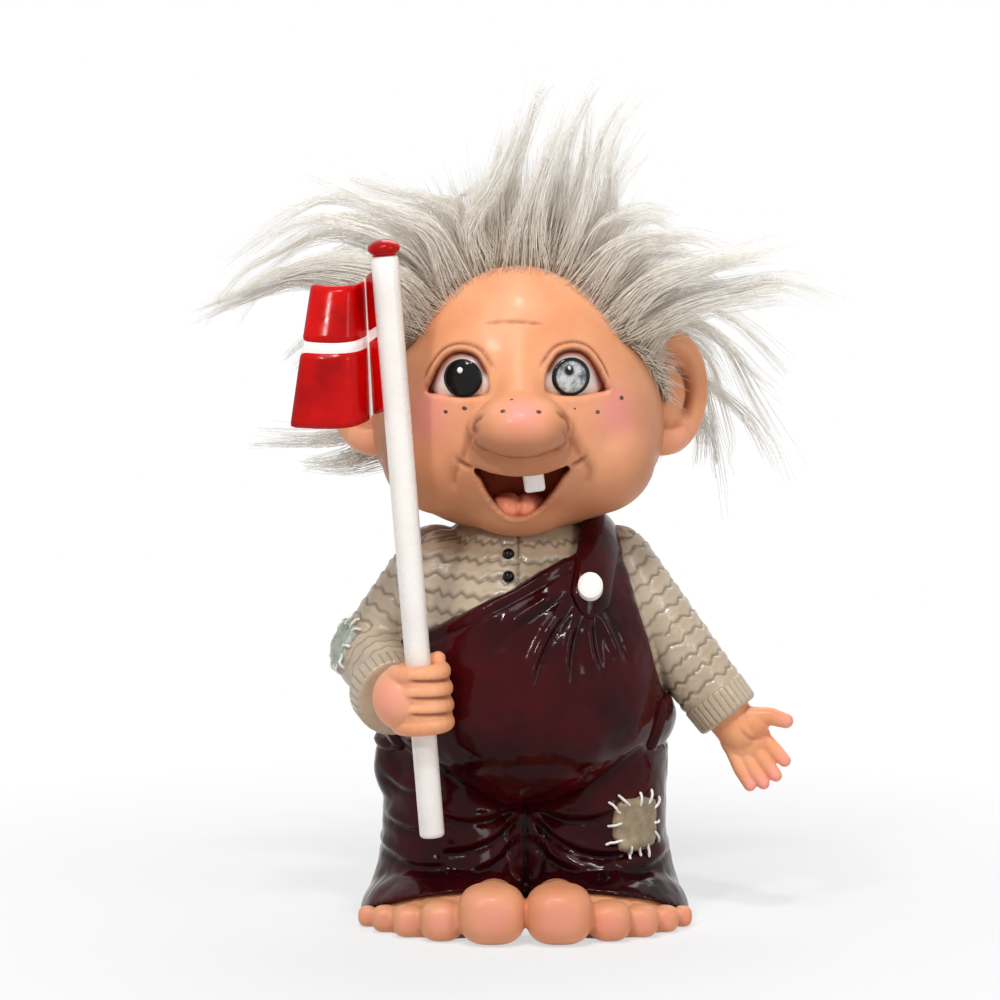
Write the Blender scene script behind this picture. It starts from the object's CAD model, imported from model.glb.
# %% [markdown]
# # A folk troll figure around its CAD frame
# The real figure is a set of resin castings, painted by hand and varnished, with a wig of
# long fur and a flag that pulls out of the fist. The CAD frame fixes every size and place.
# Here each casting is modelled again in soft forms, in metres, in the frame's own axes.

# %% Load the frame
import math
import random

import bmesh
import bpy
from mathutils import Euler, Matrix, Vector, noise
from mathutils.bvhtree import BVHTree
from mathutils.kdtree import KDTree


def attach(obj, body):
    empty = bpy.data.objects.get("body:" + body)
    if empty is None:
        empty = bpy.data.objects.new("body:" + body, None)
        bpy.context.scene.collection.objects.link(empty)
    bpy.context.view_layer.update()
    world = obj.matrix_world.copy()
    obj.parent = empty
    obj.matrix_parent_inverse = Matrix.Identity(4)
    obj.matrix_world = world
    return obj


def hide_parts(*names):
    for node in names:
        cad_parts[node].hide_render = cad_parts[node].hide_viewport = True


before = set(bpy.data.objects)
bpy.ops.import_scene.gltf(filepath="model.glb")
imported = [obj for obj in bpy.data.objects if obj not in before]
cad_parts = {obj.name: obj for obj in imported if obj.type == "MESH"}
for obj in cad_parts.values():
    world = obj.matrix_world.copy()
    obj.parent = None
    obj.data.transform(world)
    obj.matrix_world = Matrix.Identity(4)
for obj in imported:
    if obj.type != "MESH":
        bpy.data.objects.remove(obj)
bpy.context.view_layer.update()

MM = 0.001

# %% [markdown]
# ## Camera
# The photo is taken from a little above, from far away, with a long lens, so the figure has
# almost no perspective. The lens and the distance below put the soles, the hands and the
# crown on the same pixels as in the photo.

# %% Camera
LOOK_AT = Vector((-4.5, 0.0, 75.0)) * MM
CAMERA_DISTANCE, CAMERA_RISE = 0.85, math.radians(7.0)


def add_object(name, data):
    """New object at the origin, linked to the scene."""
    item = bpy.data.objects.new(name, data)
    bpy.context.scene.collection.objects.link(item)
    return item


lens = bpy.data.cameras.new("camera")
lens.lens, lens.sensor_width, lens.clip_start = 170.0, 36.0, 0.01
camera = add_object("camera", lens)
backward = Vector((0, -math.cos(CAMERA_RISE), math.sin(CAMERA_RISE)))
camera.location = LOOK_AT + CAMERA_DISTANCE * backward
camera.rotation_euler = (math.radians(90) - CAMERA_RISE, 0, 0)
bpy.context.scene.camera = camera
print("camera", [round(value, 3) for value in camera.location])

# %% [markdown]
# ## Clay tools
# Castings like these start as clay, so the script works the same way. Balls and rolls are
# put together in a bmesh, a voxel remesh melts them into one skin, and a smooth modifier
# rounds the joins. Lengths in these helpers are in millimetres.


# %% Clay: balls, rolls and melting
def placed(centre, turn=None, half=None):
    """Matrix of a place, a turn and half sizes."""
    scale = None if half is None else Vector(half) * MM
    return Matrix.LocRotScale(Vector(centre) * MM, turn, scale)


def clay_ball(bm, centre, half, turn=(0, 0, 0), detail=4):
    """Ball or pebble with half sizes along its own axes, turned in degrees."""
    place = placed(centre, Euler([math.radians(angle) for angle in turn]), half)
    return bmesh.ops.create_icosphere(bm, subdivisions=detail, radius=1, matrix=place)["verts"]


def clay_egg(bm, centre, radius, rise, drop):
    """Egg with a tall upper half and a shallow lower half."""
    verts = clay_ball(bm, (0, 0, 0), (radius, radius, 1), detail=6)
    for vert in verts:
        vert.co.z *= rise if vert.co.z > 0 else drop
    bmesh.ops.translate(bm, verts=verts, vec=Vector(centre) * MM)


def clay_roll(bm, start, end, start_radius, end_radius, sides=40):
    """Tapered roll with a ball at each end."""
    start, end = Vector(start), Vector(end)
    run = end - start
    bmesh.ops.create_cone(
        bm, cap_ends=True, segments=sides, radius1=start_radius * MM, radius2=end_radius * MM,
        depth=run.length * MM, matrix=placed((start + end) / 2, run.to_track_quat("Z", "Y")),
    )
    clay_ball(bm, start, [start_radius] * 3)
    clay_ball(bm, end, [end_radius] * 3)


def round_edges(bm, edges, width, segments=3):
    bmesh.ops.bevel(
        bm, geom=edges, offset=width * MM, affect="EDGES", segments=segments, profile=0.5, material=-1
    )


def as_piece(bm, name, smooth=False):
    """Object of all that a bmesh holds."""
    for face in bm.faces:
        face.smooth = smooth
    mesh = bpy.data.meshes.new(name)
    bm.to_mesh(mesh)
    bm.free()
    return add_object(name, mesh)


def take_in(bm, piece):
    """Moves a piece's faces into a bmesh and deletes the piece."""
    bm.from_mesh(piece.data)
    bpy.data.objects.remove(piece)


def apply_modifiers(piece):
    """Puts the result of a piece's modifiers into its mesh."""
    graph = bpy.context.evaluated_depsgraph_get()
    result = bpy.data.meshes.new_from_object(piece.evaluated_get(graph))
    old = piece.data
    piece.modifiers.clear()
    piece.data = result
    bpy.data.meshes.remove(old)
    result.name = piece.name
    for polygon in result.polygons:
        polygon.use_smooth = True
    return piece


def soften(piece, voxel, passes):
    """Melts a piece into one even skin and smooths it."""
    melt = piece.modifiers.new("melt", "REMESH")
    melt.mode, melt.voxel_size = "VOXEL", voxel * MM
    rounding = piece.modifiers.new("rounding", "SMOOTH")
    rounding.factor, rounding.iterations = 0.5, passes
    return apply_modifiers(piece)


def cut_out(piece, cutter):
    """Takes the cutter's volume away from the piece and deletes the cutter."""
    cut = piece.modifiers.new("cut", "BOOLEAN")
    cut.operation, cut.solver, cut.object = "DIFFERENCE", "EXACT", cutter
    apply_modifiers(piece)
    bpy.data.objects.remove(cutter)


# %% [markdown]
# ## Modelling strokes
# Wrinkles, folds and knit rows are pressed into the skin with a tool. A stroke is a smooth
# line in the front view, and the vertices near it move along their normals. Each vertex
# also remembers how deep it lies in a groove, in the attribute "wash", because the painter
# rubs a dark wash into the grooves, and how much pink was dusted on it, in "blush".


# %% Strokes
def unit(value):
    """A value held between 0 and 1."""
    return min(1.0, max(0.0, value))


def bell(distance, width):
    """1 in the middle, fading softly over a width."""
    return math.exp(-((distance / width) ** 2))


def bend(p0, p1, p2, p3, t):
    """Place at a share t from p1 to p2, on a smooth line through all four points."""
    return 0.5 * (
        2 * p1 + (p2 - p0) * t + (2 * p0 - 5 * p1 + 4 * p2 - p3) * t**2
        + (3 * p1 - 3 * p2 + p3 - p0) * t**3
    )


def flowing(points, step=0.3, closed=False):
    """Points of a smooth line through the given ones, about step apart."""
    points = [Vector(point) for point in points]
    count = len(points)
    line = []
    for index in range(count if closed else count - 1):
        around = [index + shift for shift in (-1, 0, 1, 2)]
        near = [points[at % count if closed else min(max(at, 0), count - 1)] for at in around]
        steps = max(2, round((near[2] - near[1]).length / step))
        line += [bend(*near, number / steps) for number in range(steps)]
    return line if closed else line + points[-1:]


class Clay:
    """Moves of one piece's vertices, gathered first and made all at once."""

    def __init__(self, piece):
        self.mesh = piece.data
        self.places = [vert.co / MM for vert in self.mesh.vertices]
        self.normals = [vert.normal.copy() for vert in self.mesh.vertices]
        count = len(self.places)
        self.rise, self.wash, self.blush = [0.0] * count, [0.0] * count, [0.0] * count
        self.front = KDTree(count)
        for index, (place, normal) in enumerate(zip(self.places, self.normals)):
            if normal.y < 0.25:
                self.front.insert((place.x, 0, place.z), index)
        self.front.balance()

    def stroke(self, points, width, height, wash=0.0, taper=1.5):
        """Ridge or groove along a line in the front view, fading at its ends."""
        line = flowing([(x, 0, z) for x, z in points])
        run = [0.0]
        for before, after in zip(line, line[1:]):
            run.append(run[-1] + (after - before).length)
        strength = {}
        for point, gone in zip(line, run):
            ends = min(1.0, (min(gone, run[-1] - gone) + 0.15) / taper) if taper else 1.0
            for _, index, distance in self.front.find_range(point, 2.2 * width):
                value = ends * bell(distance, width)
                if value > strength.get(index, 0.0):
                    strength[index] = value
        for index, value in strength.items():
            self.rise[index] += height * value
            self.wash[index] = max(self.wash[index], wash * value)

    def strokes(self, rows):
        """Several strokes; a row is a width, a height, a wash and the places it passes."""
        for width, height, wash, *points in rows:
            self.stroke(points, width, height, wash)

    def dust(self, centre, radius, amount):
        """Soft round spot of pink at a point in space."""
        centre = Vector(centre)
        for index, place in enumerate(self.places):
            distance = (place - centre).length
            if distance < 2.5 * radius:
                self.blush[index] = min(1.0, self.blush[index] + amount * bell(distance, radius))

    def pattern(self, rule):
        """Height and wash at every vertex by a rule of its place and normal."""
        for index, (place, normal) in enumerate(zip(self.places, self.normals)):
            height, wash = rule(place, normal)
            self.rise[index] += height
            self.wash[index] = max(self.wash[index], wash)

    def shape(self):
        """Moves the vertices and writes the two paint attributes."""
        for vert, normal, rise in zip(self.mesh.vertices, self.normals, self.rise):
            vert.co += normal * (rise * MM)
        for name, values in (("wash", self.wash), ("blush", self.blush)):
            self.mesh.attributes.new(name, "FLOAT", "POINT").data.foreach_set("value", values)
        self.mesh.update()


def crevices(clay, gain):
    """Wash where the skin is hollow: a vertex is compared with the mean of its neighbours."""
    places = [vert.co.copy() for vert in clay.mesh.vertices]
    pairs = [tuple(edge.vertices) for edge in clay.mesh.edges]
    total = [Vector() for _ in places]
    degree = [0] * len(places)
    for a, b in pairs:
        total[a] += places[b]
        total[b] += places[a]
        degree[a] += 1
        degree[b] += 1
    degree = [max(1, number) for number in degree]
    hollow = [
        (around / number - place).dot(normal) / MM
        for around, number, place, normal in zip(total, degree, places, clay.normals)
    ]
    for _ in range(2):
        around = [0.0] * len(places)
        for a, b in pairs:
            around[a] += hollow[b]
            around[b] += hollow[a]
        hollow = [0.5 * own + 0.5 * near / n for own, near, n in zip(hollow, around, degree)]
    for index, value in enumerate(hollow):
        clay.wash[index] = max(clay.wash[index], min(0.9, max(0.0, gain * value)))


def surface_of(piece):
    """Search tree of a piece's faces, to place things on them."""
    verts = [vert.co.copy() for vert in piece.data.vertices]
    return BVHTree.FromPolygons(verts, [polygon.vertices[:] for polygon in piece.data.polygons])


def cast_on(tree, start, aim):
    """Point and normal where a line from start towards aim first meets a surface."""
    place, normal, _, _ = tree.ray_cast(start * MM, (aim - start).normalized())
    return place / MM, normal


# %% [markdown]
# ## Paint and varnish
# Every casting is brushed with acrylic paint and sealed with a gloss varnish. Two node
# groups are shared by all of them. One mixes the light and the shaded tone with a soft noise,
# rubs the wash into the grooves and dusts on the pink. The other gives the varnish its brush
# marks, as uneven roughness and a faint relief.


# %% Shared node groups
def srgb(red, green, blue):
    """Linear colour of a screen colour from 0 to 255."""
    parts = []
    for value in (red, green, blue):
        value /= 255
        parts.append(value / 12.92 if value <= 0.04045 else ((value + 0.055) / 1.055) ** 2.4)
    return (*parts, 1.0)


def set_inputs(tree, node, values):
    """Fills a node's inputs; each value is a socket to link or a plain value."""
    for label, value in values.items():
        if isinstance(value, bpy.types.NodeSocket):
            tree.links.new(value, node.inputs[label])
        else:
            node.inputs[label].default_value = value


def add_node(tree, kind, values, **settings):
    """New node of a kind with its settings and inputs."""
    node = tree.nodes.new("ShaderNode" + kind)
    for label, setting in settings.items():
        setattr(node, label, setting)
    set_inputs(tree, node, values)
    return node


def add_range(tree, value, low, high, to_low, to_high):
    values = {"Value": value, "From Min": low, "From Max": high, "To Min": to_low, "To Max": to_high}
    return add_node(tree, "MapRange", values).outputs["Result"]


def add_mix(tree, factor, first, second):
    """Mix of two colours."""
    return add_node(tree, "Mix", {0: factor, 6: first, 7: second}, data_type="RGBA").outputs[2]


def add_attribute(tree, name):
    return add_node(tree, "Attribute", {}, attribute_name=name).outputs["Fac"]


def object_place(tree):
    return add_node(tree, "TexCoord", {}).outputs["Object"]


def add_noise(tree, scale, detail=3.0, roughness=0.55):
    """Noise on Object coordinates; scale is in grains per metre."""
    values = {"Vector": object_place(tree), "Scale": scale, "Detail": detail, "Roughness": roughness}
    return add_node(tree, "TexNoise", values).outputs["Fac"]


def add_distance(tree, place, near, far, at_near=0.0, at_far=1.0):
    """Value that changes between two distances from a place, in millimetres."""
    values = {0: object_place(tree), 1: Vector(place) * MM}
    away = add_node(tree, "VectorMath", values, operation="DISTANCE").outputs["Value"]
    return add_range(tree, away, near * MM, far * MM, at_near, at_far)


def new_group(name, inputs, outputs):
    """Node group, its inputs and its end node; sockets are given as names and kinds."""
    group = bpy.data.node_groups.new(name, "ShaderNodeTree")
    for way, sockets in (("INPUT", inputs), ("OUTPUT", outputs)):
        for label, kind in sockets:
            group.interface.new_socket(label, in_out=way, socket_type="NodeSocket" + kind)
    return group, group.nodes.new("NodeGroupInput").outputs, group.nodes.new("NodeGroupOutput")


paint_tone, given, made = new_group(
    "paint_tone",
    (("Light", "Color"), ("Shade", "Color"), ("Wash", "Color"), ("Pink", "Color"), ("Patches", "Float")),
    (("Tone", "Color"),),
)
patches = add_range(paint_tone, add_noise(paint_tone, given["Patches"]), 0.38, 0.72, 0.0, 1.0)
tone = add_mix(paint_tone, patches, given["Light"], given["Shade"])
for layer, colour in (("blush", "Pink"), ("wash", "Wash")):
    tone = add_mix(paint_tone, add_attribute(paint_tone, layer), tone, given[colour])
set_inputs(paint_tone, made, {"Tone": tone})

varnish, given, made = new_group(
    "varnish",
    (("Smooth", "Float"), ("Dull", "Float"), ("Strokes", "Float")),
    (("Roughness", "Float"), ("Height", "Float")),
)
marks = add_noise(varnish, given["Strokes"], detail=4.0)
spread = add_range(varnish, marks, 0.35, 0.7, given["Smooth"], given["Dull"])
set_inputs(varnish, made, {"Roughness": spread, "Height": marks})
print("groups", paint_tone.name, varnish.name)


# %% Painted finishes
def new_material(name):
    """Material, its node tree and its shader."""
    material = bpy.data.materials.new(name)
    material.use_nodes = True
    return material, material.node_tree, material.node_tree.nodes["Principled BSDF"]


def painted(name, light, shade, wash, pink=None, patches=90.0, smooth=0.22, dull=0.42,
            strokes=700.0, relief=0.06, coat=0.25, shine=0.5):
    """Painted and varnished material. Colours are screen colours from 0 to 255."""
    material, tree, shader = new_material(name)
    tones = add_node(tree, "Group", {
        "Light": srgb(*light), "Shade": srgb(*shade), "Wash": srgb(*wash),
        "Pink": srgb(*(pink or light)), "Patches": patches,
    }, node_tree=paint_tone)
    gloss = add_node(
        tree, "Group", {"Smooth": smooth, "Dull": dull, "Strokes": strokes}, node_tree=varnish
    )
    bump = add_node(tree, "Bump", {
        "Strength": relief, "Distance": 0.3 * MM, "Height": gloss.outputs["Height"],
    })
    set_inputs(tree, shader, {
        "Base Color": tones.outputs["Tone"], "Roughness": gloss.outputs["Roughness"],
        "Normal": bump.outputs["Normal"], "Specular IOR Level": shine,
        "Coat Weight": coat, "Coat Roughness": 0.12,
    })
    return material


FLAG_RED = dict(
    light=(204, 8, 6), shade=(160, 2, 3), wash=(90, 0, 0), patches=130,
    smooth=0.12, dull=0.24, coat=0.0, shine=0.14,
)
skin = painted(
    "skin", (236, 168, 124), (226, 150, 106), (112, 44, 18), pink=(248, 156, 150),
    smooth=0.4, shine=0.2, coat=0.04,
)
sweater = painted(
    "sweater", (190, 172, 148), (172, 152, 128), (98, 80, 58), patches=160, smooth=0.3, dull=0.5
)
overalls_paint = painted(
    "overalls", (64, 6, 11), (26, 3, 6), (8, 2, 3), patches=60,
    smooth=0.08, dull=0.19, strokes=380, relief=0.2, coat=0.0, shine=0.12,
)
eye_white = painted(
    "eye_white", (246, 242, 236), (232, 226, 220), (140, 58, 24), patches=50, coat=0.1, shine=0.3
)
white_paint = painted("white_paint", (244, 238, 232), (228, 220, 214), (150, 138, 128), patches=50)
black_gloss = painted(
    "black_gloss", (10, 9, 9), (16, 15, 15), (4, 4, 4),
    smooth=0.05, dull=0.12, relief=0.0, coat=0.1, shine=0.15,
)
flag_red = painted("flag_red", **FLAG_RED)
tongue_pink = painted(
    "tongue_pink", (252, 160, 126), (240, 138, 104), (170, 70, 44), patches=300, coat=0.0, shine=0.25
)
mouth_dark = painted(
    "mouth_dark", (196, 92, 54), (160, 70, 40), (150, 62, 34), patches=300,
    smooth=0.5, dull=0.7, coat=0.0, shine=0.1,
)
patch_brown = painted(
    "patch_brown", (150, 132, 104), (120, 102, 76), (62, 48, 32), patches=500, smooth=0.4, dull=0.6
)
patch_green = painted(
    "patch_green", (176, 182, 170), (140, 148, 134), (70, 72, 60), patches=500, smooth=0.4, dull=0.6
)
thread_white = painted("thread_white", (242, 240, 234), (214, 210, 202), (150, 144, 134), patches=900)


def finish(piece, material, slot, *nodes, body="figure"):
    """Paints a piece, lets it ride on its body and stand for its CAD nodes."""
    if material:
        piece.data.materials.clear()
        piece.data.materials.append(material)
    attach(piece, body)
    if nodes:
        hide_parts(*nodes)
    print(piece.name, len(piece.data.polygons), "faces")


# %% [markdown]
# ## Head
# The head is an egg with full cheeks, a potato nose between two wings, and a wide open
# smile. Melting balls together gives soft transitions. The mouth and the almond eye openings
# are cut, and a last melt rounds their edges as a casting mould would.

# %% Head form
HEAD = Vector((-1.2, 1.0, 87.5))
HEAD_RADIUS, SKULL_RISE, JAW_DROP = 26.3, 37.0, 18.5
HEAD_VOXEL = 0.4


def head_front(x, z):
    """Y of the plain head egg at a place in the front view."""
    height = z - HEAD.z
    level = HEAD_RADIUS**2 * (1 - (height / (SKULL_RISE if height > 0 else JAW_DROP)) ** 2)
    return HEAD.y - math.sqrt(max(0.0, level - (x - HEAD.x) ** 2))


bm = bmesh.new()
clay_egg(bm, HEAD, HEAD_RADIUS, SKULL_RISE, JAW_DROP)
for side in (-1, 1):
    clay_ball(bm, (HEAD.x + side * 13.0, -9.6, 84.0), (11.6, 11.6, 10.6), detail=5)
clay_ball(bm, (-1.2, -14.6, 84.6), (10.0, 9.6, 5.4), detail=5)
clay_ball(bm, (-1.2, -11.2, 76.0), (10.0, 8.2, 6.4), detail=5)
clay_roll(bm, (-1.1, -19.8, 105.0), (-1.0, -23.8, 95.0), 2.8, 4.4)
plain_head = soften(as_piece(bm, "head_base"), 0.6, 60)
bm = bmesh.new()
take_in(bm, plain_head)
clay_ball(bm, (-0.9, -27.4, 91.2), (8.4, 7.8, 5.9), detail=5)
for side in (-1, 1):
    clay_ball(bm, (-0.9 + side * 6.4, -25.8, 90.0), (3.1, 4.4, 3.6))
head = soften(as_piece(bm, "head_skin"), HEAD_VOXEL, 14)
print("head", len(head.data.vertices), "vertices")

# %% Mouth and eye openings
MOUTH = (
    (-9.2, 83.4), (-5.6, 82.5), (-1.8, 82), (3, 82.4), (7.8, 83.8), (6.4, 80.9), (4.8, 78.4),
    (2.8, 76), (0.6, 74.5), (-1.4, 74.1), (-3.6, 74.7), (-5.6, 76.6), (-7.4, 79.6),
)
EYE = (
    (-4.5, -2.7), (-4.1, 1.1), (-2.3, 3.5), (0.2, 4.2), (2.5, 3.4), (4.3, 1.2), (5.4, -0.9),
    (6.6, -3.1), (3.6, -3.6), (0.4, -3.8), (-2.6, -3.5),
)
EYE_SPOTS = {-1: Vector((-11.0, 99.4)), 1: Vector((7.9, 99.7))}


def front_cutter(name, outline, back_y):
    """Prism with a rounded front-view outline, from far in front to a back wall."""
    bm = bmesh.new()
    line = flowing([(x, 0, z) for x, z in outline], 0.5, closed=True)
    face = bm.faces.new([bm.verts.new((place.x * MM, -0.05, place.z * MM)) for place in line])
    pulled = bmesh.ops.extrude_face_region(bm, geom=[face])["geom"]
    moved = [item for item in pulled if isinstance(item, bmesh.types.BMVert)]
    bmesh.ops.translate(bm, verts=moved, vec=(0, back_y * MM + 0.05, 0))
    bmesh.ops.recalc_face_normals(bm, faces=bm.faces[:])
    return as_piece(bm, name)


def eye_outline(side, grow=0.0):
    """Almond of one eye in the front view, outer corner away from the nose."""
    spot = EYE_SPOTS[side]
    ring = []
    for x, z in EYE:
        larger = 1 + grow / math.hypot(x, z)
        ring.append((spot.x + side * x * larger, spot.y + z * larger))
    return ring


cut_out(head, front_cutter("mouth_cutter", MOUTH, -12.5))
for side in (-1, 1):
    cut_out(head, front_cutter("eye_cutter", eye_outline(side), -15.5))
soften(head, HEAD_VOXEL, 3)
print("head with openings", len(head.data.vertices), "vertices")

# %% Face strokes
# A row is a width, a height, a wash and the places that the line passes.
FACE_LINES = (
    (0.24, -0.25, 0.6, (-7.4, 108.6), (-2, 108.9), (3.2, 108.5)),
    (1.5, 0, 0.3, (-21, 103), (-19.4, 105.6), (-16.8, 106.8)),
    (0.7, -0.3, 0.75, (-9.7, 90.6), (-8.4, 87.8), (-4.8, 86.3), (-0.9, 85.9), (3, 86.4), (6.6, 87.9),
     (7.9, 90.6)),
    (0.5, -0.8, 0.8, (-8.8, 83.4), (-11.2, 84), (-12.4, 85.4)),
    (0.5, -0.8, 0.8, (7.4, 83.7), (9.9, 84.5), (11, 85.8)),
    (0.4, -0.5, 0.85, (-7.2, 94), (-9.2, 92), (-9.9, 89.4)),
    (0.4, -0.5, 0.85, (5.2, 94.4), (7.4, 92.4), (8, 89.4)),
    (0.6, -0.8, 0.55, (-8.2, 91.6), (-9.9, 89.4), (-10.6, 86.8), (-11.4, 84.2)),
    (0.6, -0.8, 0.55, (6.2, 91.4), (8, 89.2), (9.1, 86.6), (9.9, 84.8)),
    (0.7, -0.7, 0.45, (-11.6, 84), (-12.6, 81.8), (-12.5, 79.2)),
    (0.7, -0.7, 0.45, (10, 85), (11.3, 82.4), (10.4, 79.6)),
)
clay = Clay(head)
for side in (-1, 1):
    lid = eye_outline(side, 0.7)
    clay.strokes((
        (0.7, 0.55, 0.0, *lid[1:8]),
        (0.3, -0.4, 0.85, *eye_outline(side, 1.45)[1:7]),
        (0.4, -0.1, 0.9, *eye_outline(side, 0.1)[1:8]),
        (0.9, 0.12, 0.0, *lid[7:11], lid[0]),
    ))
clay.strokes(FACE_LINES)
lower_lip = [(x * 1.06 - 0.05, 79 + (z - 79) * 1.07) for x, z in MOUTH[5:]]
clay.stroke([(-8.6, 82.6)] + lower_lip[::-1] + [(7.6, 82.8)], 0.6, 0.4)
for place in ((-16.8, -18.4, 92.6), (16.4, -18.4, 92.9)):
    clay.dust(place, 4.8, 0.75)
clay.dust((-0.6, -33.6, 94.4), 3.4, 0.8)


def face_shade(place, normal):
    """Deep tone inside the mouth, and an airbrushed tone under the cheeks and to the sides."""
    inside = place.y > head_front(place.x, max(place.z, 72.0)) + 2.6 and normal.y < 0.6
    if inside and abs(place.x + 0.8) < 10.5 and 72.6 < place.z < 85.0 and place.y < -10:
        return 0.0, 1.0
    below = max(0.0, -normal.z - 0.05) * 0.24
    aside = max(0.0, abs(normal.x) - 0.45) * 0.34
    low = unit((97.0 - place.z) / 14.0) * 0.22
    if place.y < -23.5 and abs(place.x + 0.9) < 9.6:
        low = unit((94.5 - place.z) / 6.0) * 0.36
    return 0.0, min(0.46, below + aside + low)


clay.pattern(face_shade)
crevices(clay, 2.6)
clay.shape()
head.data.materials.append(skin)
head.data.materials.append(mouth_dark)
for polygon in head.data.polygons:
    if min(clay.wash[index] for index in polygon.vertices) > 0.98:
        polygon.material_index = 1
finish(head, None, "skin", "head")
head_tree = surface_of(head)

# %% [markdown]
# ## Eyes, tongue and tooth
# The eyeballs are glossy white pebbles behind the almond openings. The right iris is a
# plain black dome. The left one is silvery inside a black ring, as in a glass eye, so its
# paint mixes a ring, a pupil and specks around the iris's own centre.

# %% Eyeballs and irises
IRIS_RADIUS, IRIS_DROP = 3.4, 0.35


def eye_front(side):
    spot = EYE_SPOTS[side]
    return Vector((spot.x, head_front(spot.x, spot.y), spot.y))


# The lid's dark tone is brushed on the top of the white, where the lid shades it.
for side, name in ((-1, "right"), (1, "left")):
    front = eye_front(side)
    bm = bmesh.new()
    seat = front + Vector((side * 0.5, 3.7, -0.2))
    clay_ball(bm, seat, (6.6, 2.4, 5.0), turn=(0, 0, side * 28), detail=5)
    ball = as_piece(bm, name + "_eyeball")
    clay = Clay(ball)
    clay.stroke(eye_outline(side, -0.2)[1:8], 1.05, 0.0, wash=1.0, taper=0)
    clay.shape()
    finish(ball, eye_white, "white_paint", name + "_eye")

silver_eye = painted(
    "silver_eye", (150, 152, 150), (96, 98, 98), (20, 20, 20),
    smooth=0.05, dull=0.15, relief=0.0, coat=0.1, shine=0.2,
)
tree = silver_eye.node_tree
specks = add_range(tree, add_noise(tree, 520.0, detail=4.0, roughness=0.7), 0.4, 0.62, 0.0, 0.9)
silver = add_mix(tree, specks, srgb(204, 208, 208), srgb(66, 68, 70))
off_pupil = add_distance(tree, eye_front(1) + Vector((-0.4, 0.2, 1.1 - IRIS_DROP)), 0.8, 1.3)
silver = add_mix(tree, off_pupil, srgb(18, 18, 19), silver)
ring = add_distance(tree, eye_front(1) + Vector((0, 0.4, -IRIS_DROP)), 2.6, 2.9)
silver = add_mix(tree, ring, silver, srgb(14, 14, 15))
set_inputs(tree, tree.nodes["Principled BSDF"], {"Base Color": silver})

for side, name, paint in ((-1, "right", black_gloss), (1, "left", silver_eye)):
    front = eye_front(side)
    bm = bmesh.new()
    turn = Euler((math.radians(90), 0, math.radians(side * 20)))
    dome = (IRIS_RADIUS * 1.05, IRIS_RADIUS, 0.9)
    place = placed(front + Vector((0, 0.75, -IRIS_DROP)), turn, dome)
    bmesh.ops.create_uvsphere(bm, u_segments=48, v_segments=24, radius=1, matrix=place)
    spot = front + Vector((-0.5, -0.06, 1.5 - IRIS_DROP))
    glint = set(clay_ball(bm, spot, (0.5, 0.2, 0.55), detail=3))
    for face in bm.faces:
        face.material_index = 1 if face.verts[0] in glint else 0
    iris = as_piece(bm, name + "_iris_dome", smooth=True)
    iris.data.materials.append(paint)
    iris.data.materials.append(thread_white)
    finish(iris, None, "eye_black" if side < 0 else "eye_silver", name + "_iris")

# %% Tongue and tooth
bm = bmesh.new()
for side in (-1, 1):
    clay_ball(bm, (-1.2 + side * 1.7, -13.6, 75.3), (3.4, 4.8, 2.7), turn=(-8, side * -8, 0))
tongue = soften(as_piece(bm, "tongue_pad"), 0.25, 4)
clay = Clay(tongue)
clay.stroke(((-1.2, 79.0), (-1.2, 75.0), (-1.2, 73.0)), 0.5, -0.25, wash=0.2, taper=0)
clay.shape()
finish(tongue, tongue_pink, "tongue", "tongue")

bm = bmesh.new()
place = placed((1.4, -21.8, 81.4), Euler((0.05, -0.14, 0)), (3.7, 2.5, 4.5))
bmesh.ops.create_cube(bm, size=1, matrix=place)
round_edges(bm, bm.edges[:], 0.7, segments=4)
finish(as_piece(bm, "tooth_block", smooth=True), white_paint, "white_paint", "tooth")

# %% [markdown]
# ## Freckles
# The painter sets a few brown dots over the nose and the cheeks. They are tiny flat beads,
# placed where a level line from the front meets the skin.

# %% Freckles
FRECKLES = (
    (-14, 93.2, 0.44), (-10.7, 94, 0.5), (-4, 94.5, 0.5), (-2.5, 96.3, 0.34),
    (2.2, 94.4, 0.52), (12.6, 93.1, 0.46), (16.9, 95.2, 0.52), (8.6, 93.9, 0.22),
)
bm = bmesh.new()
for x, z, radius in FRECKLES:
    place, normal = cast_on(head_tree, Vector((x, -1000, z)), Vector((x, 0, z)))
    dot = placed(place, normal.to_track_quat("Z", "Y"), (radius, radius * 0.8, 0.12))
    bmesh.ops.create_icosphere(bm, subdivisions=2, radius=1, matrix=dot)
freckle_brown = painted("freckle_brown", (92, 44, 26), (70, 30, 18), (40, 16, 8), patches=900)
finish(as_piece(bm, "freckles"), freckle_brown, "skin")

# %% [markdown]
# ## Ears
# Each ear is a thick leaf with a rolled rim, a hollow that narrows to a crescent, and a
# round lobe. It is cast apart and glued to the side of the head.


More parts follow.
